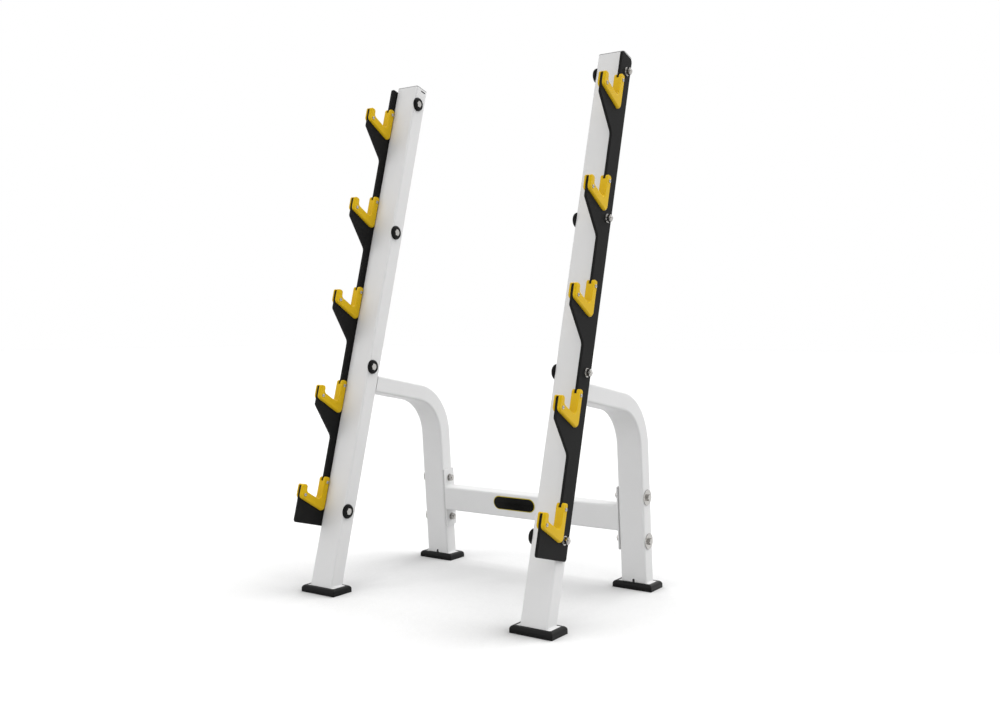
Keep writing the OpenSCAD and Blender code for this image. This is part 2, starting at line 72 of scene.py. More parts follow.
# %% [markdown]
# ## Directions of the rack
# The uprights lean back by 15 degrees and the rear legs lean forward by 5. A part
# that is bolted to a leaning tube is easiest to draw in that tube's own
# directions: forward out of its front face, and along it. The third direction is
# the cross product of the two, so nothing can come out mirrored.

# %% Directions, in millimetres until a mesh is made
MM = 0.001
LEAN, LEG_LEAN, ARM_FALL = np.radians([15.0, 5.0, 10.0])
TUBE_W, TUBE_D, TUBE_WALL, TUBE_R = 80.0, 50.0, 3.0, 6.0
TOP_Z, BASE_TOP = 1520.0, 19.0
HALF_SPACING, LEG_REACH = 360.0, 559.0
INNER_X, OUTER_X = HALF_SPACING - TUBE_W / 2, HALF_SPACING + TUBE_W / 2
SIDES = {"left": -1, "right": 1}
ACROSS, BACKWARD, UPWARD = np.eye(3)
UPRIGHT_FORWARD = np.array([0.0, -math.cos(LEAN), math.sin(LEAN)])
UPRIGHT_ALONG = np.array([0.0, math.sin(LEAN), math.cos(LEAN)])
LEG_FORWARD = np.array([0.0, -math.cos(LEG_LEAN), -math.sin(LEG_LEAN)])
LEG_ALONG = np.array([0.0, -math.sin(LEG_LEAN), math.cos(LEG_LEAN)])
ARM_ALONG = np.array([0.0, math.cos(ARM_FALL), -math.sin(ARM_FALL)])
ARM_UPWARD = np.array([0.0, math.sin(ARM_FALL), math.cos(ARM_FALL)])
UPRIGHT_TOP = TOP_Z / math.cos(LEAN)


def box_middle(node):
    """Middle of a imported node's box, in millimetres."""
    low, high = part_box(node)
    return (np.array(low) + np.array(high)) / 2 / MM


FRONT_FOOT = BASE_TOP * math.tan(LEAN) + TUBE_D / math.cos(LEAN) / 2
FRONT_Y = box_middle("front_left_foot")[1] - FRONT_FOOT
LEG_Y = FRONT_Y + LEG_REACH
print(f"the uprights' front faces meet the floor at y = {FRONT_Y:.2f} mm")


def at_front(x):
    """Point of the floor in line with the uprights' front faces, at x."""
    return np.array([x, FRONT_Y, 0.0])


def to_rack(points, origin, first, second):
    """Local points (a, b, c) become origin + a*first + b*second + c*(first x second)."""
    axes = np.stack([first, second, np.cross(first, second)])
    return np.asarray(origin, float) + points @ axes


# %% [markdown]
# ## Surfaces from numpy
# Nearly everything here is one of two things: an outline carried along a line,
# or a profile turned about an axis. Both are a grid of points, a stack of rings
# with the same number of points, so one function can skin them. The end rings are
# closed by a flat face, or the last ring joins the first, as in a washer.

# %% Rings to faces
def skin(rings, loop=False):
    """Rings (k, n, 3) to (points, quads, caps): quad (j, i) joins rings j and j + 1."""
    k, n = rings.shape[:2]
    i = np.arange(n)
    j = np.arange(k if loop else k - 1)[:, None]
    near, far = j * n, (j + 1) % k * n
    ahead = (i + 1) % n
    quads = np.stack([near + i, near + ahead, far + ahead, far + i], -1).reshape(-1, 4)
    caps = [] if loop else [i[::-1], (k - 1) * n + i]
    return rings.reshape(-1, 3), quads, caps


def placed(rings, origin, first, second, loop=False):
    """Rings in local directions to (points, quads, caps) in the rack's."""
    points, quads, caps = skin(rings, loop)
    return to_rack(points, origin, first, second), quads, caps


def mesh_of(name, parts):
    """One mesh in metres from several (points, quads, caps) in millimetres."""
    counts = np.cumsum([0] + [len(p[0]) for p in parts])
    points = np.concatenate([p[0] for p in parts]) * MM
    quads = np.concatenate([p[1] + first for p, first in zip(parts, counts)])
    caps = [(c + first).tolist() for p, first in zip(parts, counts) for c in p[2]]
    mesh = bpy.data.meshes.new(name)
    mesh.from_pydata(points, [], quads.tolist() + caps)
    mesh.update()
    return mesh


def soften(mesh, crease_degrees=25.0):
    """Shades smoothly, apart from edges where the faces turn by more than the angle."""
    mesh.polygons.foreach_set("use_smooth", np.ones(len(mesh.polygons), bool))
    mesh.set_sharp_from_angle(angle=math.radians(crease_degrees))


def paint_edge_shade(obj, material, facing, low=-0.9, high=0.9):
    """A second material, a painted shade, on each face whose normal . facing lies between low
    and high.
    """
    normals = np.empty(3 * len(obj.data.polygons))
    obj.data.polygons.foreach_get("normal", normals)
    turned_to = normals.reshape(-1, 3) @ facing
    edges = (turned_to > low) & (turned_to < high)
    obj.data.materials.append(material)
    obj.data.polygons.foreach_set("material_index", edges.astype(np.int32))


def piece(name, parts, material, slot, *nodes):
    """A finished piece: one object that rides with the rack and stands for the nodes."""
    obj = bpy.data.objects.new(name, mesh_of(name, parts))
    bpy.context.scene.collection.objects.link(obj)
    obj.data.materials.append(material)
    soften(obj.data)
    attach(obj, "root")
    if nodes:
        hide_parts(*nodes)
    print(f"{name}: {len(obj.data.polygons)} faces")
    return obj


# %% [markdown]
# ## Outlines with round corners
# A laser-cut plate, a tube's section and a moulded cheek are all straight edges
# with arcs between them. Each arc's points come with the direction that points out
# of the outline there. With it the outline can be drawn in or out exactly, which
# is how edges get their rounding. One more point on either side of an arc keeps the
# smooth shading of the arc off the flat face next to it.

# %% Outlines
def outline(corners, radii, steps=8):
    """Counter-clockwise corners to points and outward normals (n, 2).

    An edge turns by t at a corner. The arc's centre lies r inside the edge where it
    starts, r*tan(t/2) before the corner, and its points are centre + r*(cos, sin). The
    extra points stand up to 0.4 mm outside the arc.
    """
    p = np.asarray(corners, float)
    r = np.broadcast_to(np.asarray(radii, float), len(p))
    into = p - np.roll(p, 1, 0)
    into /= np.linalg.norm(into, axis=1)[:, None]
    out = np.roll(into, -1, 0)
    turn = np.arctan2(into[:, 0] * out[:, 1] - into[:, 1] * out[:, 0], (into * out).sum(1))
    side = np.sign(turn)[:, None]
    normal_in = np.stack([into[:, 1], -into[:, 0]], 1)
    start = p - into * (r * np.tan(abs(turn) / 2))[:, None]
    centre = start - side * r[:, None] * normal_in
    share = np.concatenate([[0.0], np.linspace(0, 1, steps + 1), [1.0]])
    angle = np.arctan2(normal_in[:, 1], normal_in[:, 0])[:, None] + turn[:, None] * share
    normal = np.stack([np.cos(angle), np.sin(angle)], -1)
    curve = centre[:, None] + (side * r[:, None])[:, None] * normal
    flank = np.minimum(0.4, 0.2 * r)[:, None]
    curve[:, 0] -= into * flank
    curve[:, -1] += out * flank
    return curve.reshape(-1, 2), normal.reshape(-1, 2)


def rectangle(w, h):
    """Corners of a rectangle about the origin."""
    return [(-w / 2, -h / 2), (w / 2, -h / 2), (w / 2, h / 2), (-w / 2, h / 2)]


def edge_profile(low, high, r_low, r_high, steps=4):
    """Inset and height of a slab's side from its lower face up to its upper face.

    A rounded edge is a quarter circle: inset r*(1 - cos a), height high - r*(1 - sin a).
    Here too one more point on either side keeps its shading off the flat faces.
    """
    a = np.linspace(0, math.pi / 2, steps + 1)
    beside_low, beside_high = r_low * 1.3, r_high * 1.3
    inset = np.concatenate([
        [beside_low], (r_low * (1 - np.cos(a)))[::-1], [0, 0],
        r_high * (1 - np.cos(a)), [beside_high]])
    height = np.concatenate([
        [low], (low + r_low * (1 - np.sin(a)))[::-1],
        [low + beside_low, high - beside_high],
        high - r_high * (1 - np.sin(a)), [high]])
    return inset, height


def slab(curve, normal, inset, height):
    """Rings (k, n, 3): the outline drawn in by the inset, at each height."""
    flat = curve - np.asarray(inset, float)[:, None, None] * normal
    level = np.broadcast_to(np.asarray(height)[..., None, None], flat.shape[:2] + (1,))
    return np.concatenate([flat, level], -1)


def plate(corners, radii, low, high, r_low, r_high, steps=8):
    """Rings of a flat plate from low to high, with both its edges rounded."""
    return slab(*outline(corners, radii, steps), *edge_profile(low, high, r_low, r_high))


def prism(curve, normal, half):
    """Rings of a straight bar of the outline's shape, half its length to either side."""
    return slab(curve, normal, [0.0, 0.0], [-half, half])


# %% [markdown]
# ## Finishes
# Powder coat in two colours and a darker grey that paints shade on cut edges, zinc plate, bare
# mill steel that also paints shade in the tubes' openings, rubber, and three plastics.
# All have a fine grain that spreads the highlight, and all are a little uneven over a
# hand's breadth. So one function builds them from real sizes: the grain's width and
# depth, the colour, and how rough the surface is.

# %% Colours and nodes
def linear(hex_colour):
    """sRGB hex to linear: c / 12.92 up to 0.04045, then ((c + 0.055) / 1.055) ** 2.4."""
    c = np.array([int(hex_colour[i:i + 2], 16) for i in (1, 3, 5)]) / 255
    low, high = c / 12.92, ((c + 0.055) / 1.055) ** 2.4
    return (*np.where(c <= 0.04045, low, high), 1.0)


def add(tree, kind, settings=None, inputs=None):
    """Adds a node. An input is a value, or the output of another node."""
    node = tree.nodes.new(kind)
    for name, value in (settings or {}).items():
        setattr(node, name, value)
    for socket, value in (inputs or {}).items():
        if isinstance(value, bpy.types.NodeSocket):
            tree.links.new(value, node.inputs[socket])
        else:
            node.inputs[socket].default_value = value
    return node


def finish(name, dark, light, rough, grain_mm, depth_mm, gloss, metallic=0.0, cloud_mm=90.0):
    """A surface between two close colours, with a grain of real width and depth.

    The noise's scale is 1 / size in metres, for the grain and for the clouds of colour.
    rough is the roughness' range, low to high. gloss is the shader's specular level,
    where 0.5 is what an IOR of 1.5 reflects.
    """
    material = bpy.data.materials.new(name)
    material.use_nodes = True
    tree = material.node_tree
    tree.nodes.clear()
    place = add(tree, "ShaderNodeTexCoord").outputs["Object"]
    cloud = add(tree, "ShaderNodeTexNoise", None, {
        "Vector": place, "Scale": 1000 / cloud_mm, "Detail": 3.0, "Roughness": 0.55})
    grain = add(tree, "ShaderNodeTexNoise", None, {
        "Vector": place, "Scale": 1000 / grain_mm, "Detail": 2.0, "Roughness": 0.5})
    tint = add(tree, "ShaderNodeMix", {"data_type": "RGBA"}, {
        0: cloud.outputs["Fac"], 6: linear(dark), 7: linear(light)})
    sheen = add(tree, "ShaderNodeMapRange", None, {
        "Value": grain.outputs["Fac"], "From Min": 0.25, "From Max": 0.75,
        "To Min": rough[0], "To Max": rough[1]})
    relief = add(tree, "ShaderNodeBump", None, {
        "Height": grain.outputs["Fac"], "Distance": depth_mm * MM, "Strength": 1.0})
    shader = add(tree, "ShaderNodeBsdfPrincipled", None, {
        "Base Color": tint.outputs[2], "Roughness": sheen.outputs["Result"],
        "Metallic": metallic, "Specular IOR Level": gloss,
        "Normal": relief.outputs["Normal"]})
    add(tree, "ShaderNodeOutputMaterial", None, {"Surface": shader.outputs["BSDF"]})
    return material


# Polyester powder, baked on steel: a soft gloss with a faint orange peel. The real
# peel is 1 to 2 mm wide; it is drawn 4 mm wide, because less doesn't show.
grey_coat = finish("powder_coat_light_grey", "#DEDEDE", "#E4E4E4",
                   rough=(0.42, 0.52), grain_mm=4.0, depth_mm=0.04, gloss=0.45)
# Painted shade: a darker grey for cut edges, which draws the dark lines along the lids' and the
# end plates' edges.
painted_edge_shade = finish("painted_shade_on_cut_edge", "#A2A2A2", "#ABABAB",
                   rough=(0.5, 0.6), grain_mm=4.0, depth_mm=0.04, gloss=0.3)
# The same powder in a matt black. Its fine pits scatter nearly all the gloss away.
black_coat = finish("powder_coat_matt_black", "#141414", "#1A1A1A",
                    rough=(0.55, 0.7), grain_mm=3.0, depth_mm=0.02, gloss=0.1)
# Mill steel inside the tubes, where the powder hardly reaches: dark and dull. It is also
# painted shade: the cut walls of the vent slots and drain notches get it, so they read black.
bare_steel_and_painted_shade = finish("mill_steel_and_painted_shade_inside", "#1C1B1A", "#262423",
                    rough=(0.6, 0.7), grain_mm=8.0, depth_mm=0.05, gloss=0.1)
# Cast polyurethane, through-coloured, with the fine spark texture of its mould.
liner_plastic = finish("polyurethane_yellow", "#D6AE08", "#DFB812",
                       rough=(0.3, 0.4), grain_mm=2.5, depth_mm=0.02, gloss=0.15)
# Moulded nitrile rubber: dull, with a skin of fine pits.
foot_rubber = finish("moulded_rubber_black", "#0B0B0B", "#101010",
                     rough=(0.3, 0.42), grain_mm=2.0, depth_mm=0.02, gloss=0.14)
# Injection-moulded nylon: black, and glossier than the rubber.
cap_plastic = finish("moulded_nylon_black", "#060606", "#0A0A0A",
                     rough=(0.22, 0.3), grain_mm=2.0, depth_mm=0.01, gloss=0.12)
# Bright zinc on steel: a metal with a slightly milky shine, uneven over each bolt.
zinc = finish("zinc_plate", "#A6A4A1", "#BEBCB9",
              rough=(0.16, 0.26), grain_mm=1.5, depth_mm=0.01, gloss=0.5,
              metallic=1.0, cloud_mm=12.0)
# Resin badge: a black pill under a clear gloss, with a thin yellow border.
badge_black = finish("badge_resin_black", "#080806", "#0C0C0A",
                     rough=(0.12, 0.18), grain_mm=6.0, depth_mm=0.005, gloss=0.15)
badge_yellow = finish("badge_border_yellow", "#B4A220", "#C0AE2A",
                      rough=(0.25, 0.35), grain_mm=6.0, depth_mm=0.005, gloss=0.3)

# %% [markdown]
# ## Uprights
# An upright is a rectangular steel tube, sawn level at the bottom and square at the
# top. A tube is the plainest sweep there is: its section, carried along a line. Only
# the ends need care. The lower ring's points slide along the tube until they meet
# the base plate, so the saw cut comes out level although the tube leans.

# %% Tubes as swept sections
def closed_wall(outer, inner):
    """Outer rings out and inner rings back: skinned as a loop, they close the wall."""
    return np.concatenate([outer, inner[::-1]])


def tube(section, axes, ends):
    """Rings of a straight tube's wall.

    The section's (a, b) becomes a*axis_a + b*axis_b. ends has a function for each end,
    which moves such points there.
    """
    return closed_wall(*(np.stack([end(curve @ axes) for end in ends]) for curve in section))


def tube_section(w, d):
    """Outer and inner wall of a rectangular tube."""
    inner = rectangle(w - 2 * TUBE_WALL, d - 2 * TUBE_WALL)
    return (outline(rectangle(w, d), TUBE_R)[0], outline(inner, TUBE_R - TUBE_WALL)[0])


def bare_and_shaded_inside(obj, rings):
    """A second material, dark steel that also paints shade, on the inner wall: the faces
    between the inner rings.
    """
    stations, n = len(rings) // 2, rings.shape[1]
    inside = np.zeros(len(obj.data.polygons), np.int32)
    inside[stations * n:(2 * stations - 1) * n] = 1
    obj.data.materials.append(bare_steel_and_painted_shade)
    obj.data.polygons.foreach_set("material_index", inside)


def slide_to(points, along, plane_point, plane_normal):
    """Moves points along a direction until they lie on a plane."""
    short = (plane_point - points) @ plane_normal
    return points + np.outer(short / (along @ plane_normal), along)


TOP_PLATE = 3.0


def upright_rings(x):
    """Rings of an upright whose middle line stands at x."""
    middle = at_front(x) - UPRIGHT_FORWARD * TUBE_D / 2
    axes = np.stack([ACROSS, -UPRIGHT_FORWARD])
    return tube(tube_section(TUBE_W, TUBE_D), axes, [
        lambda p: slide_to(p + middle, UPRIGHT_ALONG, UPWARD * BASE_TOP, UPWARD),
        lambda p: p + middle + UPRIGHT_ALONG * (UPRIGHT_TOP - TOP_PLATE)])


# %% [markdown]
# The vent slot near the top lets gas out when the tube is welded and galvanised.
# A hole in a wall is a job for a boolean: a long pill goes through the inner wall,
# and the exact solver takes it out. The tool is thrown away afterwards.

# %% Cutting with a tool
def cut(obj, parts, wall=0):
    """Takes the tool's parts out of the piece and shades it again.

    The cut's own faces get the piece's material number wall.
    """
    tool = bpy.data.objects.new("tool", mesh_of("tool", parts))
    for material in obj.data.materials:
        tool.data.materials.append(material)
    tool.data.polygons.foreach_set("material_index", np.full(len(tool.data.polygons), wall))
    bpy.context.scene.collection.objects.link(tool)
    knife = obj.modifiers.new("cut", "BOOLEAN")
    knife.operation, knife.solver, knife.object = "DIFFERENCE", "EXACT", tool
    shapes = bpy.context.evaluated_depsgraph_get()
    carved = bpy.data.meshes.new_from_object(obj.evaluated_get(shapes))
    obj.modifiers.remove(knife)
    old, obj.data = obj.data, carved
    bpy.data.meshes.remove(old)
    bpy.data.objects.remove(tool)
    soften(obj.data)
    print(f"{obj.name} after the cut: {len(obj.data.polygons)} faces")


SLOT_LENGTH, SLOT_HEIGHT, SLOT_R, SLOT_BACK, SLOT_DROP = 20.0, 4.0, 1.8, 30.0, 10.0
pill = prism(*outline(rectangle(SLOT_LENGTH, SLOT_HEIGHT), SLOT_R), 2 * TUBE_WALL)
for name, side in SIDES.items():
    rings = upright_rings(side * HALF_SPACING)
    upright = piece(f"{name}_upright_tube", [skin(rings, True)],
                    grey_coat, "frame_coat", f"{name}_upright")
    bare_and_shaded_inside(upright, rings)
    slot_at = (at_front(side * INNER_X) - UPRIGHT_FORWARD * SLOT_BACK
               + UPRIGHT_ALONG * (UPRIGHT_TOP - SLOT_DROP))
    # The slot's cut walls take material 1, the dark inside steel, as painted shade that makes
    # the slot read black.
    cut(upright, [placed(pill, slot_at, UPRIGHT_FORWARD, UPRIGHT_ALONG)], 1)

# %% [markdown]
# ## Top plates
# A plate of the tube's own outline closes each upright. It is ground flush. Its soft
# edge is painted a darker grey, a painted shade that draws the fine line round the top.

# %% Top plates
lid_rings = plate(rectangle(TUBE_D, TUBE_W), TUBE_R, 0.0, TOP_PLATE, 0.5, 1.0)
for name, side in SIDES.items():
    centre = (at_front(side * HALF_SPACING) - UPRIGHT_FORWARD * TUBE_D / 2
              + UPRIGHT_ALONG * (UPRIGHT_TOP - TOP_PLATE))
    lid = piece(f"{name}_top_lid", [placed(lid_rings, centre, UPRIGHT_FORWARD, ACROSS)],
                grey_coat, "frame_coat", f"{name}_top_plate")
    # The lid's edge faces get the darker grey: painted shade.
    paint_edge_shade(lid, painted_edge_shade, UPRIGHT_ALONG)

# %% [markdown]
# ## Rear legs
# Each rear leg is one tube, bent cold on a mandrel: a short arm that falls by 10
# degrees, a bend of 155 mm radius, and a leg that leans by 5. The section turns with
# the line. Where the line's direction has the angle q, the section's upper side
# points at q + 90 degrees, and the bend's points are centre + radius * that way.

# %% Bent tubes
ARM_Z, BEND_R, BEND_STEPS = 594.0, 155.0, 40
# In the plane of y and z, from the uprights' front: the arm's middle line starts at the
# upright's back, and falls until it meets the leg's middle line in the corner.
arm_start = np.array([ARM_Z * math.tan(LEAN) + TUBE_D / math.cos(LEAN), ARM_Z])
leg_middle = LEG_REACH + TUBE_D / math.cos(LEG_LEAN) / 2
corner_y = ((leg_middle - (ARM_Z + arm_start[0] * math.tan(ARM_FALL)) * math.tan(LEG_LEAN))
            / (1 - math.tan(ARM_FALL) * math.tan(LEG_LEAN)))
corner = np.array([corner_y, ARM_Z - (corner_y - arm_start[0]) * math.tan(ARM_FALL)])
bend_angle = math.pi / 2 - ARM_FALL - LEG_LEAN
bend_start = corner - ARM_ALONG[1:] * BEND_R * math.tan(bend_angle / 2)
bend_centre = bend_start - ARM_UPWARD[1:] * BEND_R
upright_back = at_front(0.0) - UPRIGHT_FORWARD * TUBE_D


def leg_rings(x):
    """Rings of a rear leg: mitred to the upright, round the bend, level on its base."""
    walls = []
    for curve in tube_section(TUBE_W, TUBE_D):
        q = -ARM_FALL - bend_angle * np.linspace(0, 1, BEND_STEPS + 1)[:, None]
        outward = np.stack([-np.sin(q), np.cos(q)], -1)
        yz = bend_centre + outward * (BEND_R + curve[:, 1])[None, :, None]
        yz = yz + np.array([FRONT_Y, 0.0])
        across = np.broadcast_to(x - curve[:, 0], yz.shape[:2])
        bend = np.concatenate([across[..., None], yz], -1)
        first = slide_to(bend[0], ARM_ALONG, upright_back, UPRIGHT_FORWARD)
        last = slide_to(bend[-1], LEG_ALONG, UPWARD * BASE_TOP, UPWARD)
        walls.append(np.concatenate([first[None], bend, last[None]]))
    return closed_wall(*walls)


# %% [markdown]
# A small notch at the foot of each leg's front wall drains the tube. It is cut like
# the vent slot, with a box.

# %% Rear legs and their drain notches
DRAIN_W, DRAIN_H, DRAIN_R = 7.0, 10.0, 2.0
notch = prism(*outline(rectangle(DRAIN_W, 2 * DRAIN_H), DRAIN_R), TUBE_WALL + 2)
for name, side in SIDES.items():
    rings = leg_rings(side * HALF_SPACING)
    leg = piece(f"{name}_bent_leg", [skin(rings, True)],
                grey_coat, "frame_coat", f"{name}_rear_leg")
    bare_and_shaded_inside(leg, rings)
    foot_of_leg = np.array([side * HALF_SPACING, LEG_Y, 0.0]) + LEG_ALONG * BASE_TOP
    # The notch's cut walls take the dark inside steel too, as painted shade.
    cut(leg, [placed(notch, foot_of_leg, ACROSS, LEG_ALONG)], 1)

# %% [markdown]
# ## Crossbar and its end plates
# The crossbar is a taller tube of the same depth, welded between two flat plates
# that are bolted to the legs. It leans with the legs. Each plate's edge is rounder on
# the leg's side, where it makes a groove with the tube's round corner, and that edge is
# painted a darker grey as the groove's shade.

# %% Crossbar
BAR_H, BAR_Z, END_T, END_H, END_R = 76.0, 204.0, 6.0, 188.0, 4.0
TO_BAR_R, TO_LEG_R = 0.7, 2.4
# The cosines, to the leg's direction, between which a face is on the rounded edge and gets the
# painted shade.
EDGE_LOW, EDGE_HIGH = 0.1, 0.95
BAR_HALF = INNER_X - END_T
bar_middle = (np.array([0.0, LEG_Y, 0.0]) - LEG_FORWARD * TUBE_D / 2
              + LEG_ALONG * BAR_Z / math.cos(LEG_LEAN))
bar_rings = tube(tube_section(TUBE_D, BAR_H), np.stack([LEG_FORWARD, LEG_ALONG]), [
    lambda p: p + bar_middle + ACROSS * BAR_HALF,
    lambda p: p + bar_middle - ACROSS * BAR_HALF])
piece("crossbar_tube", [skin(bar_rings, True)], grey_coat, "frame_coat", "crossbar")
for name, side in SIDES.items():
    rounding = (TO_BAR_R, TO_LEG_R) if side < 0 else (TO_LEG_R, TO_BAR_R)
    end_rings = plate(rectangle(TUBE_D, END_H), END_R, -END_T / 2, END_T / 2, *rounding)
    middle = bar_middle + ACROSS * side * (BAR_HALF + END_T / 2)
    end = piece(f"{name}_bar_end", [placed(end_rings, middle, LEG_FORWARD, LEG_ALONG)],
                grey_coat, "frame_coat", f"{name}_crossbar_end_plate")
    # The rounded edge on the leg's side is painted a darker grey: painted shade for the groove.
    paint_edge_shade(end, painted_edge_shade, ACROSS * side, EDGE_LOW, EDGE_HIGH)

# %% [markdown]
# ## Hook plates
# Each plate is cut by laser from 8 mm steel in one piece. Its outline is a list of
# corners, most of them the same for each hook: gusset, nose, saddle and neck. So one
# hook's corners are written once, and a loop lifts them by the pitch.

# %% One hook's corners
# Lengths along the upright start at the floor. A drop is measured from the upright's
# top, and forward distances from its front face.
HOOKS, FIRST_SEAT, LAST_SEAT_DROP, PLATE_LOW, PLATE_DROP = 5, 262.0, 151.6, 190.0, 12.0
PITCH = (UPRIGHT_TOP - LAST_SEAT_DROP - FIRST_SEAT) / (HOOKS - 1)
SPINE_FRONT, SPINE_BACK, REACH = 20.0, 37.0, 106.0
SEAT_SLOPE, GUSSET_SLOPE = np.radians([16.0, 42.0])
WEB, THROAT, NOSE_H, GUSSET_DROP = 4.0, 63.0, 38.0, 22.0
BACK_WALL = SPINE_FRONT + WEB
NOSE_WALL = BACK_WALL + THROAT
NOSE_R, HEEL_R, SEAT_R = 8.0, 10.0, 12.0
LOW_R, BAY_R, GUSSET_R, TIP_R, TOP_FRONT_R, TOP_BACK_R = 8.0, 20.0, 8.0, 6.0, 6.0, 12.0


def seat(u):
    """Height of the seat at a forward distance: it rises at the seat's slope."""
    return (u - BACK_WALL) * math.tan(SEAT_SLOPE)


def saddle_edge(gap):
    """The steel edge under the liner, grown by a gap: nose top, nose wall, corner."""
    wall, back = NOSE_WALL + WEB - gap, SPINE_FRONT + gap
    drop = (WEB - gap) / math.cos(SEAT_SLOPE)
    return [(wall, NOSE_H - WEB + gap), (wall, seat(wall) - drop), (back, seat(back) - drop)]


def seat_height(k):
    """Distance along the upright of hook k's seat, counted from the lowest, 1."""
    return FIRST_SEAT + (k - 1) * PITCH


corners = [(-SPINE_BACK, PLATE_LOW), (REACH, PLATE_LOW)]
radii = [LOW_R, LOW_R]
gusset_fall = (REACH - SPINE_FRONT) * math.tan(GUSSET_SLOPE)
for k in range(1, HOOKS + 1):
    s = seat_height(k)
    if k > 1:
        corners += [(SPINE_FRONT, s - GUSSET_DROP - gusset_fall), (REACH, s - GUSSET_DROP)]
        radii += [BAY_R, GUSSET_R]
    corners += [(REACH, s + NOSE_H - WEB)] + [(u, r + s) for u, r in saddle_edge(0.0)]
    radii += [TIP_R, NOSE_R - WEB, HEEL_R + WEB, SEAT_R + WEB]
plate_top = UPRIGHT_TOP - PLATE_DROP
corners += [(SPINE_FRONT, plate_top), (-SPINE_BACK, plate_top)]
radii += [TOP_FRONT_R, TOP_BACK_R]

# %% Hook plates
PLATE_T, PLATE_EDGE_R = 8.0, 0.7
PLATE_X = OUTER_X + PLATE_T / 2
plate_rings = plate(corners, radii, -PLATE_T / 2, PLATE_T / 2, PLATE_EDGE_R, PLATE_EDGE_R)
for name, side in SIDES.items():
    in_place = placed(plate_rings, at_front(side * PLATE_X), UPRIGHT_FORWARD, UPRIGHT_ALONG)
    piece(f"{name}_laser_cut_plate", [in_place], black_coat, "plate_coat", f"{name}_hook_plate")

# %% [markdown]
# ## Hook liners
# A liner is one moulding: two cheeks, and a web between them that covers the steel
# where a bar lands. Its outer edge is bevelled and its throat is softly rounded. So
# the edge has two profiles, a bevel and a round, and a weight along the outline
# blends one into the other. Then the slot for the steel is cut out, a little wider.

# %% Liner outline, slot and edge
# A cheek is 7 mm thick and 25 mm deep under the seat. The liner stands 2 mm in front of
# the steel, and its back wall is 70.5 mm high with a notch of 12.5 mm in its top.
CHEEK, CHEEK_DEPTH, FIT, LIP, LINER_BACK = 7.0, 25.0, 0.2, 2.0, 1.0
BACK_H, NOTCH, CHEEK_BACK_R, CHEEK_FRONT_R = 70.5, 12.5, 14.0, 12.0
HALF_LINER = PLATE_T / 2 + FIT + CHEEK
FRONT = REACH + LIP


def cheek_low(u):
    """Lower edge of the cheek, parallel to the seat."""
    return seat(u) - CHEEK_DEPTH / math.cos(SEAT_SLOPE)


cheek = [(LINER_BACK, cheek_low(LINER_BACK)), (FRONT, cheek_low(FRONT)), (FRONT, NOSE_H),
         (NOSE_WALL, NOSE_H), (NOSE_WALL, seat(NOSE_WALL)), (BACK_WALL, 0.0),
         (BACK_WALL, BACK_H), (LINER_BACK, BACK_H)]
cheek_radii = [CHEEK_BACK_R, CHEEK_FRONT_R, NOSE_R, NOSE_R, HEEL_R, SEAT_R, NOSE_R, NOSE_R]
CORNER_STEPS = 10
cheek_curve, cheek_normal = outline(cheek, cheek_radii, CORNER_STEPS)
# The slot's tool follows the steel. Elsewhere it reaches past the liner, by this much.
PAST, SLOT_LOW, SHARP = 10.0, -100.0, 0.1
in_slot = [(-SPINE_BACK, SLOT_LOW), (FRONT + PAST, SLOT_LOW),
           (FRONT + PAST, saddle_edge(FIT)[0][1]), *saddle_edge(FIT),
           (SPINE_FRONT + FIT, BACK_H - NOTCH), (BACK_WALL + PAST, BACK_H - NOTCH),
           (BACK_WALL + PAST, BACK_H + PAST), (-SPINE_BACK, BACK_H + PAST)]
slot_radii = [SHARP, SHARP, SHARP, NOSE_R - WEB + FIT, HEEL_R + WEB - FIT,
              SEAT_R + WEB - FIT, 0.5, 1.5, SHARP, SHARP]


def liner_edge(high, bevel=3.4, soft=2.2, round_r=2.0, steps=5):
    """Insets and heights of both profiles with the same number of rings.

    The bevel is a 45 degree chamfer between two arcs of radius soft. Each arc touches
    the flat and the chamfer at soft * tan(22.5 degrees) from the corner it rounds.
    """
    a = np.linspace(0, math.pi / 4, steps + 1)
    arc_in, arc_down = soft * (1 - np.cos(a)), soft * np.sin(a)
    touch = soft * math.tan(math.pi / 8)
    lower = np.stack([arc_in, high - (bevel - touch) - touch * 2 + arc_down])
    upper = np.stack([bevel + touch - arc_down[::-1], high - arc_in[::-1]])
    chamfer = np.concatenate([lower, upper], 1)
    b = np.linspace(0, math.pi / 2, chamfer.shape[1])
    curved = np.stack([round_r * (1 - np.cos(b)), high - round_r * (1 - np.sin(b))])
    below, inside = [[0.0], [high - bevel - 3 * soft]], [[bevel + 2 * soft], [high]]
    return [np.concatenate([below, profile, inside], 1) for profile in (chamfer, curved)]


# The back, the bottom and the front of the cheek are bevelled, with weight 1. Both tops
# and the throat between them are rounded. The corners marked 0.5 blend, by 3t^2 - 2t^3.
bevelled = np.array([1.0, 1.0, 0.5, 0.0, 0.0, 0.0, 0.0, 0.5])
per_corner = CORNER_STEPS + 3
share = np.linspace(0, 1, per_corner)
before, after = np.roll(bevelled, 1), np.roll(bevelled, -1)
start = np.where(bevelled == 0.5, before, bevelled)[:, None]
stop = np.where(bevelled == 0.5, after, bevelled)[:, None]
weight = (start + (stop - start) * share * share * (3 - 2 * share)).reshape(-1)
(bevel_in, bevel_z), (round_in, round_z) = liner_edge(HALF_LINER)
inset = weight * bevel_in[:, None] + (1 - weight) * round_in[:, None]
height = weight * bevel_z[:, None] + (1 - weight) * round_z[:, None]
upper_half = np.concatenate(
    [cheek_curve - inset[..., None] * cheek_normal, height[..., None]], -1)
lower_half = upper_half[::-1] * np.array([1.0, 1.0, -1.0])
liner_rings = np.concatenate([lower_half, upper_half])
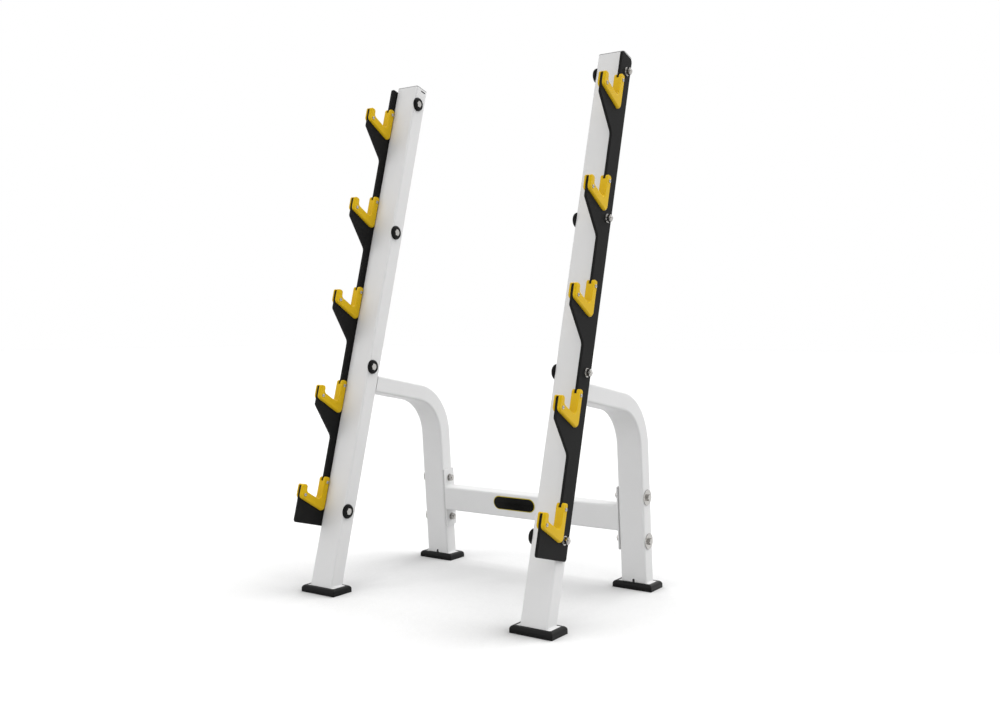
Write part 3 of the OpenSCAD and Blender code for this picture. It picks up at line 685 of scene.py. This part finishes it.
slot_rings = prism(*outline(in_slot, slot_radii), PLATE_T / 2 + FIT)

# %% Ten liners
for name, side in SIDES.items():
    for k in range(1, HOOKS + 1):
        origin = at_front(side * PLATE_X) + UPRIGHT_ALONG * seat_height(k)
        block, slot = (placed(rings, origin, UPRIGHT_FORWARD, UPRIGHT_ALONG)
                       for rings in (liner_rings, slot_rings))
        liner = piece(f"{name}_moulded_liner_{k}", [block], liner_plastic,
                      "liner_plastic", f"{name}_hook_liner_{k}")
        cut(liner, [slot])

# %% [markdown]
# ## Fasteners
# Screws, nuts and washers are turned, so each is a profile in radius and height,
# swept round an axis. A hexagon is the same sweep with a radius that depends on the
# angle: apothem / cos(angle from the middle of the flat). Where that radius passes
# the chamfer circle, the height drops at 30 degrees, and this draws the curved
# chamfer that a lathe leaves on every nut.

# %% Turned parts
STEPS, FINE_STEPS, SMALL_STEPS = 48, 64, 24


def angles(count):
    """Equal steps round a circle."""
    return np.arange(count) * 2 * math.pi / count


def hexagon(angle, apothem):
    """Radius of a hexagon at an angle: apothem / cos(angle from the nearest flat)."""
    from_flat = (angle + math.pi / 6) % (math.pi / 3) - math.pi / 6
    return apothem / np.cos(from_flat)


def turned(radii, heights, count=STEPS):
    """Rings of a turned part. A radius is a number, or one value for each angle."""
    angle = angles(count)
    r = np.stack([np.broadcast_to(x, count) for x in radii])
    z = np.stack([np.broadcast_to(x, count) for x in heights])
    return np.stack([r * np.cos(angle), r * np.sin(angle), z], -1)


def outward_at(places, side, along, rings, loop=False):
    """A turned part at each place, with its axis pointing out of the rack."""
    third = np.cross(ACROSS * side, along)
    return [placed(rings, place, along, third, loop) for place in places]


BOLT_R, HEX_AF, HEAD_H, NUT_H, BOLT_END = 6.0, 18.0, 7.0, 10.0, 3.0
WASHER_R, WASHER_T, WIDE_R, WIDE_T, HOLE_R = 12.0, 2.5, 23.0, 3.0, 6.5
CHAMFER_R = 0.95 * HEX_AF / 2
hex_radius = hexagon(angles(STEPS), HEX_AF / 2)
drop = (hex_radius - CHAMFER_R) * math.tan(math.pi / 6)


def bolt(length):
    """Head below zero, shank above, and a cut thread on the end that shows.

    The thread's radius is r - depth * (1 + cos(2 pi (z / pitch - angle / 2 pi))) / 2.
    """
    pitch, depth, steps = 1.75, 0.9, 26
    z = np.linspace(length - 5.5, length - 1.2, steps)
    phase = 2 * math.pi * z[:, None] / pitch - angles(STEPS)
    thread = BOLT_R - depth * (1 + np.cos(phase)) / 2
    radii = [CHAMFER_R, hex_radius, hex_radius, BOLT_R, BOLT_R, *thread, BOLT_R - 1.4]
    heights = [-HEAD_H, -HEAD_H + drop, 0.0, 0.0, length - 5.6, *z, length]
    return turned(radii, heights)


def nut():
    """Hexagon nut: chamfered at both ends, with a countersunk bore."""
    bore, sink = BOLT_R + 0.05, 0.8
    mouth = bore + sink
    radii = [hex_radius, hex_radius, CHAMFER_R, mouth, bore, bore, mouth, CHAMFER_R]
    heights = [drop, NUT_H - drop, NUT_H, NUT_H, NUT_H - sink, sink, 0.0, 0.0]
    return turned(radii, heights)


def washer(radius, thickness):
    """Stamped washer: flat, with its edges broken."""
    ring = [(HOLE_R, 0.0), (radius, 0.0), (radius, thickness), (HOLE_R, thickness)]
    curve = outline(ring, [0.2, 0.5, 0.5, 0.2], 3)[0]
    return turned(curve[:, 0], curve[:, 1], FINE_STEPS)


# %% [markdown]
# The hook plates' bolts go right through the uprights. On the inner side a black cap
# washer cups the head, with a domed rim and a recess. On the outer side there is a
# washer and a nut. The crossbar's bolts go in from outside and have their nuts on the
# end plates. Their heads stand on large washers, which spread the load on the thin tube.

# %% Frame bolts
BOLT_BACK, BOLT_LOW, BOLT_DROP, BOLT_GAP = 14.0, 20.0, 58.6, 130.0
LOWEST, HIGHEST = FIRST_SEAT - BOLT_LOW, UPRIGHT_TOP - BOLT_DROP
BOLTS_AT = LOWEST + np.array([0.0, 0.338, 0.668, 1.0]) * (HIGHEST - LOWEST)
CUP_R, CUP_H, CUP_FLOOR, CUP_DOME_R = 21.0, 8.0, 2.0, 6.0
recess = HEX_AF / math.cos(math.pi / 6) / 2 + 1.0
cup_corners = [(HOLE_R, 0.0), (CUP_R, 0.0), (CUP_R, CUP_H), (recess, CUP_H),
               (recess, CUP_FLOOR), (HOLE_R, CUP_FLOOR)]
cup_curve = outline(cup_corners, [0.1, 0.4, CUP_DOME_R, 0.8, 0.5, 0.1], 10)[0]
cup = turned(cup_curve[:, 0], -cup_curve[:, 1], FINE_STEPS)[::-1]
hook_seat = INNER_X - CUP_FLOOR
hook_tip = OUTER_X + PLATE_T + WASHER_T + NUT_H + BOLT_END
bar_seat = OUTER_X + WIDE_T
bar_nut_seat = BAR_HALF - WASHER_T
bar_tip = bar_nut_seat - NUT_H - BOLT_END


def on_upright(side, x):
    """The hook bolts' places at a distance across the rack, and the upright's direction."""
    line = at_front(side * x) - UPRIGHT_FORWARD * BOLT_BACK
    return [line + UPRIGHT_ALONG * s for s in BOLTS_AT], UPRIGHT_ALONG


def on_leg(side, x):
    """The crossbar bolts' places at a distance across the rack, and the leg's direction."""
    middle = bar_middle + ACROSS * side * x
    return [middle + LEG_ALONG * e * BOLT_GAP / 2 for e in (-1, 1)], LEG_ALONG


# Name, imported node, the line it stands on, distance from the middle, which way its axis
# points, its rings, whether they close into a loop, material and the record's slot.
IN_ZINC, IN_NYLON = (zinc, "zinc_steel"), (cap_plastic, "cap_plastic")
OUT, IN = 1, -1
small_washer, wide_washer = washer(WASHER_R, WASHER_T), washer(WIDE_R, WIDE_T)
FASTENERS = [
    ("plate_bolts", "hook_bolts", on_upright, hook_seat, OUT,
     bolt(hook_tip - hook_seat), False, IN_ZINC),
    ("plate_cap_washers", "hook_cap_washers", on_upright, INNER_X, OUT, cup, True, IN_NYLON),
    ("plate_washers", "hook_washers", on_upright, OUTER_X + PLATE_T, OUT,
     small_washer, True, IN_ZINC),
    ("plate_nuts", "hook_nuts", on_upright, OUTER_X + PLATE_T + WASHER_T, OUT,
     nut(), True, IN_ZINC),
    ("bar_bolts", "crossbar_bolts", on_leg, bar_seat, IN,
     bolt(bar_seat - bar_tip), False, IN_ZINC),
    ("bar_inner_washers", "crossbar_inner_washers", on_leg, bar_nut_seat, OUT,
     small_washer, True, IN_ZINC),
    ("bar_outer_washers", "crossbar_outer_washers", on_leg, OUTER_X, OUT,
     wide_washer, True, IN_ZINC),
    ("bar_nuts", "crossbar_nuts", on_leg, bar_nut_seat, IN, nut(), True, IN_ZINC)]
for name, side in SIDES.items():
    for what, node, on_line, x, way, rings, loop, look in FASTENERS:
        places, along = on_line(side, x)
        piece(f"{name}_{what}", outward_at(places, side * way, along, rings, loop),
              *look, f"{name}_{node}")

# %% [markdown]
# The liners are held by small button-head screws with a hexagon socket. The other
# end is a barrel nut with the same head, so both cheeks look alike.

# %% Liner screws
HEAD_R, SCREW_HEAD, KEY, KEY_DEPTH = 4.75, 2.5, 3.0, 1.4
SCREW_R, BARREL_R, SCREW_GAP = 2.5, 3.5, 0.5
nose_u = REACH - 14.0
screw_spots = [(SPINE_FRONT - 9.0, BACK_H - 15.5),
               (nose_u, seat(nose_u) - WEB / math.cos(SEAT_SLOPE) - 7.0)]


def button(shank, length):
    """Button head with a hexagon socket below zero, and a plain shank above.

    From the share flat of its radius outwards the head falls along an ellipse:
    height * sqrt(1 - ((share - flat) / width) ** 2).
    """
    flat, width = 0.62, 0.44
    socket = hexagon(angles(SMALL_STEPS), KEY / 2)
    dome = np.linspace(flat, 1.0, 7)
    dome_z = -SCREW_HEAD * np.sqrt(1 - ((dome - flat) / width) ** 2)
    radii = [socket * 0.98, socket, *(HEAD_R * dome), HEAD_R, shank, shank]
    heights = [-SCREW_HEAD + KEY_DEPTH, -SCREW_HEAD, *dome_z, 0.0, 0.0, length]
    return turned(radii, heights, SMALL_STEPS)


for name, side in SIDES.items():
    for what, way, shank, node in (("liner_screw_heads", OUT, SCREW_R, "liner_screws"),
                                   ("barrel_nut_heads", IN, BARREL_R, "liner_barrel_nuts")):
        on_cheek = at_front(side * PLATE_X)
        spots = [on_cheek + UPRIGHT_FORWARD * u + UPRIGHT_ALONG * (seat_height(k) + r)
                 + ACROSS * side * way * HALF_LINER
                 for k in range(1, HOOKS + 1) for u, r in screw_spots]
        heads = button(shank, HALF_LINER - SCREW_GAP)
        piece(f"{name}_{what}", outward_at(spots, -side * way, UPRIGHT_ALONG, heads),
              *IN_ZINC, f"{name}_{node}")

# %% [markdown]
# ## Base plates and rubber feet
# A flat steel plate is welded under each tube, and is pressed into a rubber foot. The
# foot is moulded: low upright sides, then a quarter round along all four sides that
# meets in a mitre at each corner. So each ring is a smaller rectangle than the one
# below, and all have the same small corner radius.

# %% Feet
BASE_W, BASE_T, BASE_R, BASE_GAP = 102.0, 5.0, 4.0, 0.3
BASE_D = TUBE_D / math.cos(LEAN) + 1.0
FOOT_H, FOOT_ROUND, FOOT_RIM, FOOT_R = 20.0, 10.5, 1.5, 2.0
FOOT_EDGE = FOOT_RIM + FOOT_ROUND
side_inset, side_height = edge_profile(0.0, FOOT_H, 0.8, FOOT_ROUND, 10)
side_inset, side_height = side_inset[:-1], side_height[:-1]
rim = FOOT_EDGE - BASE_GAP
# The edge of the pocket that holds the base plate is broken by half a millimetre.
foot_inset = np.concatenate([side_inset, [rim - 0.5, rim - 0.15, rim, rim]])
foot_height = np.concatenate([side_height, [FOOT_H, FOOT_H - 0.15, FOOT_H - 0.5,
                                            BASE_TOP - BASE_T]])
foot_corner = np.where(foot_inset < rim - 1, FOOT_R, BASE_R + BASE_GAP)


def foot_ring(inset, height, radius):
    """The foot's outline, drawn in by the inset on all sides, at a height."""
    w, d = (size + 2 * (FOOT_EDGE - inset) for size in (BASE_W, BASE_D))
    curve = outline(rectangle(w, d), radius, 6)[0]
    return np.column_stack([curve, np.full(len(curve), height)])


foot_rings = np.stack([foot_ring(*row) for row in zip(foot_inset, foot_height, foot_corner)])
base_rings = plate(rectangle(BASE_W, BASE_D), BASE_R, BASE_TOP - BASE_T, BASE_TOP, 0.5, 0.8)
for end in ("front", "rear"):
    for name in SIDES:
        centre = box_middle(f"{end}_{name}_foot") * (ACROSS + BACKWARD)
        foot, base = (placed(rings, centre, ACROSS, BACKWARD)
                      for rings in (foot_rings, base_rings))
        piece(f"{end}_{name}_rubber_foot", [foot], foot_rubber, "foot_rubber",
              f"{end}_{name}_foot")
        piece(f"{end}_{name}_welded_base", [base], grey_coat, "frame_coat",
              f"{end}_{name}_base_plate")

# %% [markdown]
# ## Welds
# The arms, the crossbar and the base plates are joined by short fillet welds. A bead
# is a quarter round carried along a straight line. Its size swells and shrinks every
# few millimetres, as the welder's puddle did, and tapers off at both ends.

# %% Weld beads
def bead(start, stop, out_a, out_b, leg=3.5):
    """Rings of a fillet weld from start to stop, in the corner between two directions.

    Size at distance s: leg * (1 + 0.1 * sin(2 pi s / ripple)) * taper at the ends.
    """
    ripple, step = 3.2, 0.8
    length = np.linalg.norm(stop - start)
    s = np.arange(0.0, length, step)
    taper = np.minimum(1.0, np.minimum(s, length - s) / 4 + 0.35)
    size = leg * (1 + 0.1 * np.sin(2 * math.pi * s / ripple)) * taper
    # The section is a fan, from a root just inside the metal to a slightly hollow face.
    a = np.linspace(0, math.pi / 2, 7)
    hollow = 0.85 + 0.15 * np.cos(4 * a)
    root, face = [[-0.3, -0.3]], np.stack([np.cos(a), np.sin(a)], 1) * hollow[:, None]
    flat = np.concatenate([root, face])
    centre = start + np.outer(s / length, stop - start)
    offset = flat[:, :1] * out_a + flat[:, 1:] * out_b
    rings = centre[:, None] + size[:, None, None] * offset
    if np.dot(np.cross(out_a, out_b), stop - start) < 0:
        rings = rings[:, ::-1]
    return skin(rings)


beads = []
INSET = 8.0
for name, side in SIDES.items():
    for up in (1.0, -1.0):
        on_arm = np.array([0.0, FRONT_Y + arm_start[0], ARM_Z]) + ARM_UPWARD * up * TUBE_D / 2
        edge = slide_to(on_arm[None], ARM_ALONG, upright_back, UPRIGHT_FORWARD)[0]
        ends = [edge + ACROSS * (side * HALF_SPACING + e * (TUBE_W / 2 - INSET))
                for e in (-1, 1)]
        beads.append(bead(*ends, ARM_ALONG, UPRIGHT_ALONG * up))
    for up in (-1.0, 1.0):
        edge = bar_middle + ACROSS * side * BAR_HALF + LEG_ALONG * up * BAR_H / 2
        ends = [edge + LEG_FORWARD * e * (TUBE_D / 2 - INSET) for e in (-1, 1)]
        beads.append(bead(*ends, -ACROSS * side, LEG_ALONG * up))
    for end, lean in (("front", LEAN), ("rear", LEG_LEAN)):
        centre = box_middle(f"{end}_{name}_foot")
        centre[2] = BASE_TOP
        half = TUBE_D / math.cos(lean) / 2 - INSET
        for e in (-1, 1):
            edge = centre + ACROSS * e * TUBE_W / 2
            beads.append(bead(edge - BACKWARD * half, edge + BACKWARD * half,
                              ACROSS * e, UPWARD))
piece("weld_beads", beads, grey_coat, "frame_coat")

# %% [markdown]
# ## Badge
# A pill-shaped resin badge sits on the crossbar's front. It is bare: a black domed
# face in a thin yellow border.

# %% Badge
BADGE_W, BADGE_H, BADGE_X, BADGE_RISE = 153.0, 43.0, -47.0, 7.0
badge_at = (bar_middle + LEG_FORWARD * TUBE_D / 2 + ACROSS * BADGE_X
            + LEG_ALONG * BADGE_RISE)
# Both start a little inside the tube. The face is 2.2 mm smaller all round, and thicker.
for name, border, thick, material, slot in (
        ("badge_border", 0.0, 1.2, badge_yellow, "liner_plastic"),
        ("badge_face", 2.2, 2.0, badge_black, "cap_plastic")):
    w, h = BADGE_W - 2 * border, BADGE_H - 2 * border
    pill = plate(rectangle(w, h), h / 2 - 0.01, -0.2, thick, 0.1, 0.8, 16)
    piece(name, [placed(pill, badge_at, ACROSS, LEG_ALONG)], material, slot)

# %% [markdown]
# ## Floor and light
# The picture has a white ground with a soft grey shade under the rack. The floor is
# a pale matt sheet. Only the camera and mirror-like reflections see it as white,
# through the Light Path node, so no extra light falls on the rack. The shade between
# the legs is deepened by the Ambient Occlusion node, which measures from the real
# shapes how much of the sky a point of the floor can't see.

# %% Floor
def studio_floor():
    """A wide sheet whose colour is white to the camera, darkened by a painted shade under the
    rack, and pale grey to the light.
    """
    half = 30.0
    mesh = bpy.data.meshes.new("floor")
    mesh.from_pydata([(x, y, 0.0) for x, y in rectangle(2 * half, 2 * half)],
                     [], [(0, 1, 2, 3)])
    floor = bpy.data.objects.new("floor", mesh)
    bpy.context.scene.collection.objects.link(floor)
    material = bpy.data.materials.new("studio_floor")
    material.use_nodes = True
    tree = material.node_tree
    tree.nodes.clear()
    path = add(tree, "ShaderNodeLightPath").outputs
    seen = add(tree, "ShaderNodeMath", {"operation": "MAXIMUM"}, {
        0: path["Is Camera Ray"], 1: path["Is Glossy Ray"]})
    seen = add(tree, "ShaderNodeMath", {"operation": "MAXIMUM"}, {
        0: seen.outputs[0], 1: path["Is Transmission Ray"]})
    matt = add(tree, "ShaderNodeBsdfDiffuse", None, {"Color": linear("#C8C8C8")})
    # The camera's white is darkened where the Ambient Occlusion node finds the sky hidden:
    # painted shade between the legs.
    open_sky = add(tree, "ShaderNodeAmbientOcclusion", {"samples": 32}, {"Distance": 1.6})
    level = add(tree, "ShaderNodeMapRange", None, {
        "Value": open_sky.outputs["AO"], "From Min": 0.76, "From Max": 0.92,
        "To Min": 0.74, "To Max": 1.0})
    white = add(tree, "ShaderNodeBsdfDiffuse", None, {"Color": level.outputs["Result"]})
    both = add(tree, "ShaderNodeMixShader", None, {
        0: seen.outputs[0], 1: matt.outputs[0], 2: white.outputs[0]})
    add(tree, "ShaderNodeOutputMaterial", None, {"Surface": both.outputs[0]})
    floor.data.materials.append(material)


studio_floor()

# %% [markdown]
# The light is that of a tent: even from all around, with three broad lamps. The key
# stands to the right and behind, so the side faces are a little brighter than the
# front, and the liners' inner cheeks lie in the uprights' shade. A fill stands to the
# left in front, and a third lamp hangs above. They are suns with a wide disc, because a
# sun lights the whole floor alike, which then shows nothing but the rack's soft shade.
#
# Metal needs something dark to mirror, or it looks like paint. So for mirror-like
# reflections the tent grows dark towards -Y, where the photographer stands. And the
# key isn't mirrored, because its disc would burn the flat bolt heads out to white.

# %% Light
world = bpy.data.worlds.new("tent")
bpy.context.scene.world = world
world.use_nodes = True
tree = world.node_tree
tree.nodes.clear()
path = add(tree, "ShaderNodeLightPath").outputs
seen = add(tree, "ShaderNodeMath", {"operation": "MAXIMUM"}, {
    0: path["Is Camera Ray"], 1: path["Is Transmission Ray"]})
even_level = add(tree, "ShaderNodeMapRange", None, {
    "Value": seen.outputs[0], "To Min": 0.20, "To Max": 1.0})
way = add(tree, "ShaderNodeSeparateXYZ", None, {
    0: add(tree, "ShaderNodeTexCoord").outputs["Generated"]})
mirror_level = add(tree, "ShaderNodeMapRange", None, {
    "Value": way.outputs["Y"], "From Min": -0.75, "From Max": -0.05,
    "To Min": 0.15, "To Max": 1.0})
strength = add(tree, "ShaderNodeMix", {"data_type": "FLOAT"}, {
    0: path["Is Glossy Ray"], 2: even_level.outputs["Result"],
    3: mirror_level.outputs["Result"]})
tent = add(tree, "ShaderNodeBackground", None, {
    "Color": (1.0, 1.0, 1.0, 1.0), "Strength": strength.outputs[0]})
add(tree, "ShaderNodeOutputWorld", None, {"Surface": tent.outputs[0]})


def broad_lamp(name, azimuth, elevation, level, disc, mirrored=True):
    """A sun of a wide disc, in degrees. At level 1 it lights a white face to white.

    Azimuth counts from the right (+X) to the back (+Y). The lamp shines down its own
    -Z, so it is tilted by 90 - elevation and turned by azimuth + 90. One that isn't
    mirrored lights the rack, but shows in no reflection.
    """
    data = bpy.data.lights.new(name, "SUN")
    data.energy, data.angle = level * math.pi, math.radians(disc)
    lamp = bpy.data.objects.new(name, data)
    lamp.rotation_euler = (math.radians(90 - elevation), 0.0, math.radians(azimuth + 90))
    lamp.visible_glossy = mirrored
    bpy.context.scene.collection.objects.link(lamp)


broad_lamp("key", 42, 43, 0.68, 75, mirrored=False)
broad_lamp("fill", -100, 20, 0.52, 80)
broad_lamp("top", 90, 70, 0.34, 100)
bpy.context.scene.view_settings.view_transform = "Standard"
